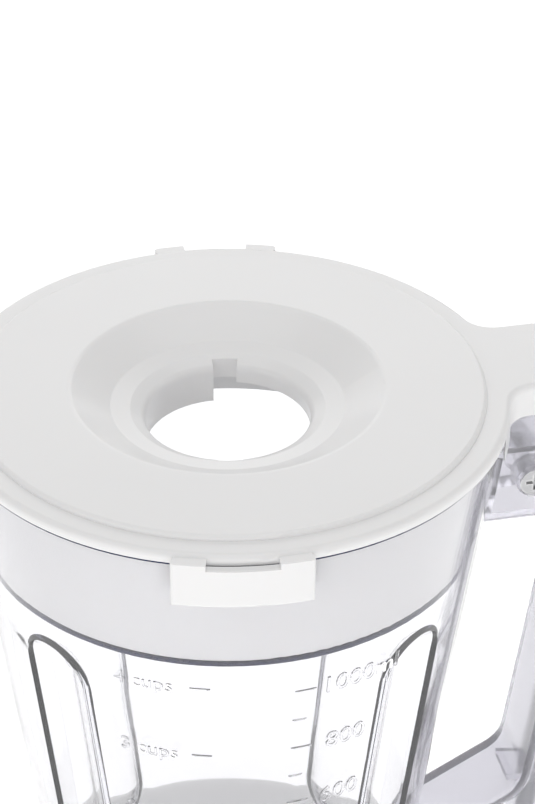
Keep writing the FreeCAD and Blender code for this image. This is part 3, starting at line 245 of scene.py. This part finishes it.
IRON = solid_material("lamination", (0.12, 0.12, 0.125), (0.24, 0.24, 0.25), (0.40, 0.60), metal=0.9,
                      grain=(1500.0, 0.0001, 0.8), stretch=(0.02, 0.02, 1.0), cloud=40.0,
                      wear=(0.40, 0.40, 0.40))
COPPER = solid_material("copper", (0.42, 0.16, 0.06), (0.62, 0.27, 0.11), (0.22, 0.38), metal=1.0,
                        grain=(1400.0, 0.0001, 0.8), stretch=(1.0, 1.0, 6.0), cloud=40.0,
                        wear=(0.75, 0.40, 0.20))
BRONZE = solid_material("bronze", (0.38, 0.24, 0.09), (0.52, 0.35, 0.15), (0.30, 0.45), metal=1.0,
                        grain=(1800.0, 0.00005, 0.5), cloud=40.0, wear=(0.65, 0.48, 0.25))
ALUMINIUM = solid_material("cast_aluminium", (0.48, 0.485, 0.49), (0.60, 0.605, 0.61), (0.35, 0.55),
                           metal=1.0, grain=(900.0, 0.0001, 0.7), cloud=40.0, wear=(0.75, 0.75, 0.76))
CARBON = solid_material("carbon", (0.02, 0.02, 0.02), (0.045, 0.045, 0.045), (0.5, 0.7),
                        grain=(1800.0, 0.00008, 0.6), cloud=60.0, wear=(0.1, 0.1, 0.1))
BOARD = solid_material("board_green", (0.012, 0.085, 0.035), (0.02, 0.13, 0.055), (0.25, 0.4),
                       grain=(500.0, 0.00004, 0.5), cloud=90.0, wear=(0.30, 0.28, 0.15))


def two_tone(material, radius, inside):
    """Give the part of a ring that is nearer the axis than radius its own colour."""
    tree = material.node_tree
    shader = tree.nodes["Principled BSDF"]
    old = shader.inputs["Base Color"].links[0].from_socket
    coords = tree.nodes.new("ShaderNodeTexCoord")
    flat = tree.nodes.new("ShaderNodeVectorMath")
    flat.operation = "MULTIPLY"
    flat.inputs[1].default_value = (1, 1, 0)
    link(tree, coords.outputs["Object"], flat.inputs[0])
    length = tree.nodes.new("ShaderNodeVectorMath")
    length.operation = "LENGTH"
    link(tree, flat.outputs["Vector"], length.inputs[0])
    step = tree.nodes.new("ShaderNodeMath")
    step.operation = "LESS_THAN"
    step.inputs[1].default_value = radius
    link(tree, length.outputs["Value"], step.inputs[0])
    link(tree, blend_colour(tree, step.outputs["Value"], old, inside), shader.inputs["Base Color"])


INK = solid_material("print_grey", (0.10, 0.10, 0.105), (0.15, 0.15, 0.155), (0.45, 0.6),
                     grain=(1500.0, 0.00002, 0.3), cloud=60.0, wear=(0.2, 0.2, 0.2))

LIP_WIDTH = 0.0012                            # the seal's dark lip, partly the seal's colour and partly painted shade for the gap where the skirt meets the jug; the rest of it looks pale
PALE_SEAL = (0.80, 0.80, 0.80)
two_tone(SEAL_AND_SHADE_NAVY, corners("lid_seal")[1].x - LIP_WIDTH, PALE_SEAL)

LOOKS = {
    LID_WHITE: ("lid", "blade_collar"),
    BODY_WHITE: ("base_housing", "terminal_block"),
    KNOB_WHITE: ("speed_knob",),
    JUG_CLEAR: ("jug",),
    HANDLE_CLEAR: ("handle_frame", "handle_cover"),
    SEAL_AND_SHADE_NAVY: ("lid_seal",),
    SEAL_NAVY: ("blade_gasket",),
    RUBBER: ("blade_shaft_seal", "feet", "seat_pad", "well_seal", "motor_mounts", "cord_gland"),
    GREY: ("interlock_rod", "blade_carrier", "base_plate", "interlock_plunger"),
    DARK: ("jug_coupling", "base_coupling", "cooling_fan", "knob_pointer", "knob_spindle", "rotary_switch",
           "board_parts", "interlock_switch"),
    STEEL: ("handle_cover_screws", "handle_screws", "rod_spring", "shaft_clip", "blade_washers",
            "base_screws", "motor_shaft", "motor_bolts", "motor_spacers", "brush_springs",
            "motor_mount_screws", "plunger_spring", "switch_bracket", "motor_bearings"),
    BLADE: ("blade_shaft", "blade_lower", "blade_upper", "blade_nut"),
    CHROME: ("knob_bezel",),
    IRON: ("stator_core", "armature_core"),
    COPPER: ("field_coils", "armature_winding", "commutator"),
    BRONZE: ("blade_bushes", "brush_holders"),
    ALUMINIUM: ("motor_bracket_upper", "motor_bracket_lower"),
    CARBON: ("carbon_brushes",),
    BOARD: ("control_board",),
}
for material, names in LOOKS.items():
    for name in names:
        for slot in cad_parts[name].material_slots:
            slot.material = material


# ---- Piece helpers ----
def add_piece(name, bm, body, material, smooth=True):
    """Turn a bmesh into a named object that rides on a body."""
    bmesh.ops.recalc_face_normals(bm, faces=bm.faces)
    mesh = bpy.data.meshes.new(name)
    bm.to_mesh(mesh)
    bm.free()
    for face in mesh.polygons:
        face.use_smooth = smooth
    piece = bpy.data.objects.new(name, mesh)
    scene.collection.objects.link(piece)
    piece.data.materials.append(material)
    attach(piece, body)
    return piece


def raised_text(name, words, size, thickness, place, body, material):
    """Lettering as a solid mesh, its points moved to their places by place(x, y, z)."""
    curve = bpy.data.curves.new(name + "_curve", "FONT")
    curve.body = words
    curve.size = size
    curve.extrude = thickness / 2
    curve.align_x = "CENTER"
    curve.align_y = "CENTER"
    curve.resolution_u = 3
    holder = bpy.data.objects.new(name + "_holder", curve)
    scene.collection.objects.link(holder)
    bpy.context.view_layer.update()
    graph = bpy.context.evaluated_depsgraph_get()
    mesh = bpy.data.meshes.new_from_object(holder.evaluated_get(graph))
    bpy.data.objects.remove(holder)
    bm = bmesh.new()
    bm.from_mesh(mesh)
    bpy.data.meshes.remove(mesh)
    bmesh.ops.remove_doubles(bm, verts=bm.verts, dist=1e-7)
    for v in bm.verts:
        v.co = place(v.co.x, v.co.y, v.co.z + thickness / 2)
    return add_piece(name, bm, body, material, smooth=False)


WALL_SINK = 0.00008
BAR_STEPS = 6
BAR_END, BAR_TOP = 0.5, 0.6                   # shares of a bar's height at its ends and of its width on top


def on_jug(angle, height):
    """Placement onto the jug's sloping wall at an angle in degrees and a height, sunk in slightly."""
    def place(x, y, z):
        level = height + y
        radius = jug_radius(level) + z - WALL_SINK
        turn = math.radians(angle) + x / jug_radius(height)
        return Vector((radius * math.cos(turn), radius * math.sin(turn), level))
    return place


def wall_bar(bm, angle, height, width, tall, thickness):
    """A raised bar on the jug's wall, with its edges eased."""
    place = on_jug(angle, height)
    rings = []
    for i in range(BAR_STEPS + 1):
        x = width * (i / BAR_STEPS - 0.5)
        ends = BAR_END if i in (0, BAR_STEPS) else 1.0
        top = ends * BAR_TOP
        rings.append([bm.verts.new(place(x, s * tall / 2 * e, z)) for s, e, z in (
            (-1, 1.0, 0.0), (-1, top, thickness * ends), (1, top, thickness * ends), (1, 1.0, 0.0))])
    for a, b in zip(rings, rings[1:]):
        for j in range(4):
            bm.faces.new((a[j], a[(j + 1) % 4], b[(j + 1) % 4], b[j]))
    bm.faces.new(rings[0])
    bm.faces.new(list(reversed(rings[-1])))


# ---- Measuring scales on the jug ----
SCALE_RAISE = 0.00045
ML_ANGLE, CUP_ANGLE = -75.0, -120.0
ML_MARKS, ML_FULL, ML_FALL = 5, 1000, 200
CUP_MARKS = 4
ML_TURN, ML_FULL_TURN = 1.5, 4.0              # the top numeral is wider, so it is turned further
ML_TOP, ML_STEP, ML_SIZE = LID_Z - 0.0450, 0.0192, 0.0072
CUP_TOP, CUP_STEP, CUP_SIZE = LID_Z - 0.0425, 0.0226, 0.0056
ML_BAR_TURN, ML_SHORT_TURN, CUP_BAR_TURN = 9.5, 10.5, 12.5       # degrees from the numerals to the bars
ML_BAR, ML_SHORT_BAR, CUP_BAR = (0.0052, 0.0006), (0.0034, 0.0005), (0.0048, 0.0006)   # widths and heights
marks = bmesh.new()
for i in range(ML_MARKS):
    level = ML_TOP - i * ML_STEP
    unit, turn = ("ml", ML_FULL_TURN) if i == 0 else ("", ML_TURN)
    raised_text("scale_ml_%d" % i, str(ML_FULL - ML_FALL * i) + unit, ML_SIZE, SCALE_RAISE,
                on_jug(ML_ANGLE + turn, level), "jug_unit", JUG_CLEAR)
    wall_bar(marks, ML_ANGLE - ML_BAR_TURN, level, *ML_BAR, SCALE_RAISE)
    if i < ML_MARKS - 1:
        wall_bar(marks, ML_ANGLE - ML_SHORT_TURN, level - ML_STEP / 2, *ML_SHORT_BAR, SCALE_RAISE)
for i in range(CUP_MARKS):
    level = CUP_TOP - i * CUP_STEP
    unit = " cup" if i == CUP_MARKS - 1 else " cups"
    raised_text("scale_cup_%d" % i, str(CUP_MARKS - i) + unit, CUP_SIZE, SCALE_RAISE,
                on_jug(CUP_ANGLE, level), "jug_unit", JUG_CLEAR)
    wall_bar(marks, CUP_ANGLE + CUP_BAR_TURN, level, *CUP_BAR, SCALE_RAISE)
add_piece("scale_marks", marks, "jug_unit", JUG_CLEAR, smooth=False)


# ---- Numerals and ticks round the knob ----
BEZEL_DEPTH = 0.0010                          # from the bezel's back plane to the printed face
DIAL_FACE = corners("knob_bezel")[1].y - BEZEL_DEPTH
INK_THICKNESS = 0.00012
INK_SINK = 0.00002
NUMERAL_RADIUS, NUMERAL_SIZE = 0.0243, 0.0040
TICK_RADIUS, TICK_SIZE = 0.0218, 0.0016
TICKS, TICK_START, TICK_STEP = 9, -45.0, 22.5


def on_dial(angle, radius):
    """Placement on the dial's face: angle clockwise from the top, as seen from the front."""
    turn = math.radians(angle)

    def place(x, y, z):
        return Vector((radius * math.sin(turn) + x, DIAL_FACE - z + INK_SINK,
                       KNOB_Z + radius * math.cos(turn) + y))
    return place


for name, words, angle in (("off", "0", 0.0), ("one", "1", 30.0), ("two", "2", 60.0), ("three", "3", 90.0),
                           ("four", "4", 120.0), ("pulse", "P", -45.0)):
    raised_text("dial_" + name, words, NUMERAL_SIZE, INK_THICKNESS, on_dial(angle, NUMERAL_RADIUS),
                "base", INK)

for i in range(TICKS):
    raised_text("dial_tick_%d" % i, "I", TICK_SIZE, INK_THICKNESS,
                on_dial(TICK_START + TICK_STEP * i, TICK_RADIUS), "base", INK)


# ---- Rings: trim on the base and a dark ring of painted shade under the lid's flange ----
def turned_ring(name, profile, material, body="base", steps=128):
    """A closed ring of revolution about the drive axis from (radius, height) points."""
    bm = bmesh.new()
    rows = []
    for i in range(steps):
        turn = 2 * math.pi * i / steps
        rows.append([bm.verts.new((r * math.cos(turn), r * math.sin(turn), z)) for r, z in profile])
    for i in range(steps):
        a, b = rows[i], rows[(i + 1) % steps]
        for j in range(len(profile)):
            k = (j + 1) % len(profile)
            bm.faces.new((a[j], a[k], b[k], b[j]))
    return add_piece(name, bm, body, material)


def round_section(middle_r, middle_z, half_r, half_z, sides=12):
    """An oval outline as (radius, height) points."""
    return [(middle_r + half_r * math.cos(2 * math.pi * i / sides),
             middle_z + half_z * math.sin(2 * math.pi * i / sides)) for i in range(sides)]


DECK_GAP = 0.0005                             # from the deck up to the handle
SEAT_GAP, TRIM_OUT, TRIM_HALF = 0.0025, 0.0031, (0.0013, 0.0007)
RIM_SHADE_OUT, RIM_SHADE_DROP, RIM_SHADE_HALF = 0.00045, 0.0001, (0.00025, 0.00046)
deck_z = corners("handle_frame")[0].z - DECK_GAP
seat_r = corners("blade_collar")[1].x + SEAT_GAP
turned_ring("seat_trim", round_section(seat_r + TRIM_OUT, deck_z, *TRIM_HALF), CHROME)
# a dark ring just outside the jug's rim: painted shade for the gap under the lid's flange
turned_ring("rim_shade_line", round_section(RIM_RADIUS + RIM_SHADE_OUT, RIM_Z - RIM_SHADE_DROP, *RIM_SHADE_HALF),
            SEAL_AND_SHADE_NAVY, body="lid_unit")


# ---- Floor, lights, world and camera ----
FLOOR_HALF = 25.0
FLOOR_GLOW = 0.45
WORLD_STRENGTH = 0.46
LENS = 111.53
SHIFT = (0.0496, -0.0184)
AIM = (0, 0, 0.28)                            # what the lamps point at
EYE_FROM_LID = (-0.0992, -0.4921, 0.3251)     # the camera's place from the middle of the lid's top
ROLL = -0.16


def make_floor():
    bm = bmesh.new()
    bmesh.ops.create_grid(bm, x_segments=1, y_segments=1, size=FLOOR_HALF)
    mesh = bpy.data.meshes.new("floor")
    bm.to_mesh(mesh)
    bm.free()
    floor = bpy.data.objects.new("floor", mesh)
    scene.collection.objects.link(floor)
    material, tree, shader = new_material("floor_white")
    shader.inputs["Base Color"].default_value = (0.90, 0.90, 0.90, 1)
    shader.inputs["Roughness"].default_value = 0.9
    shader.inputs["Emission Color"].default_value = (1, 1, 1, 1)
    shader.inputs["Emission Strength"].default_value = FLOOR_GLOW
    mesh.materials.append(material)


make_floor()


def area_light(name, place, size, power):
    """A white rectangular lamp that points at AIM."""
    data = bpy.data.lights.new(name, "AREA")
    data.shape = "RECTANGLE"
    data.size, data.size_y = size
    data.energy = power
    lamp = bpy.data.objects.new(name, data)
    scene.collection.objects.link(lamp)
    lamp.location = place
    lamp.rotation_euler = (Vector(AIM) - Vector(place)).to_track_quat("-Z", "Y").to_euler()


area_light("top_box", (0.05, 0.10, 1.6), (1.2, 1.0), 3.4)
area_light("left_box", (-1.3, -0.7, 0.9), (0.9, 1.2), 3.0)
area_light("front_box", (-0.3, -1.6, 0.45), (1.4, 0.8), 5.2)
area_light("right_box", (1.3, -0.4, 0.8), (0.9, 1.2), 2.2)
area_light("back_box", (0.2, 1.5, 1.0), (1.6, 1.0), 7.0)

world = bpy.data.worlds.new("studio")
scene.world = world
world.use_nodes = True
world.node_tree.nodes["Background"].inputs["Color"].default_value = (1.0, 1.0, 1.0, 1)
world.node_tree.nodes["Background"].inputs["Strength"].default_value = WORLD_STRENGTH
scene.view_settings.view_transform = "Standard"
scene.view_settings.look = "None"

camera_data = bpy.data.cameras.new("camera")
camera_data.sensor_width = 36.0
camera_data.lens = LENS
camera_data.shift_x, camera_data.shift_y = SHIFT
camera = bpy.data.objects.new("camera", camera_data)
scene.collection.objects.link(camera)
target = Vector((0, 0, LID_Z))
eye = target + Vector(EYE_FROM_LID)
forward = (target - eye).normalized()
right = forward.cross(Vector((0, 0, 1))).normalized()
up = right.cross(forward)
basis = Matrix((right, up, -forward)).transposed()
roll = Matrix.Rotation(math.radians(ROLL), 3, "Z")
camera.matrix_world = Matrix.Translation(eye) @ (basis @ roll).to_4x4()
scene.camera = camera
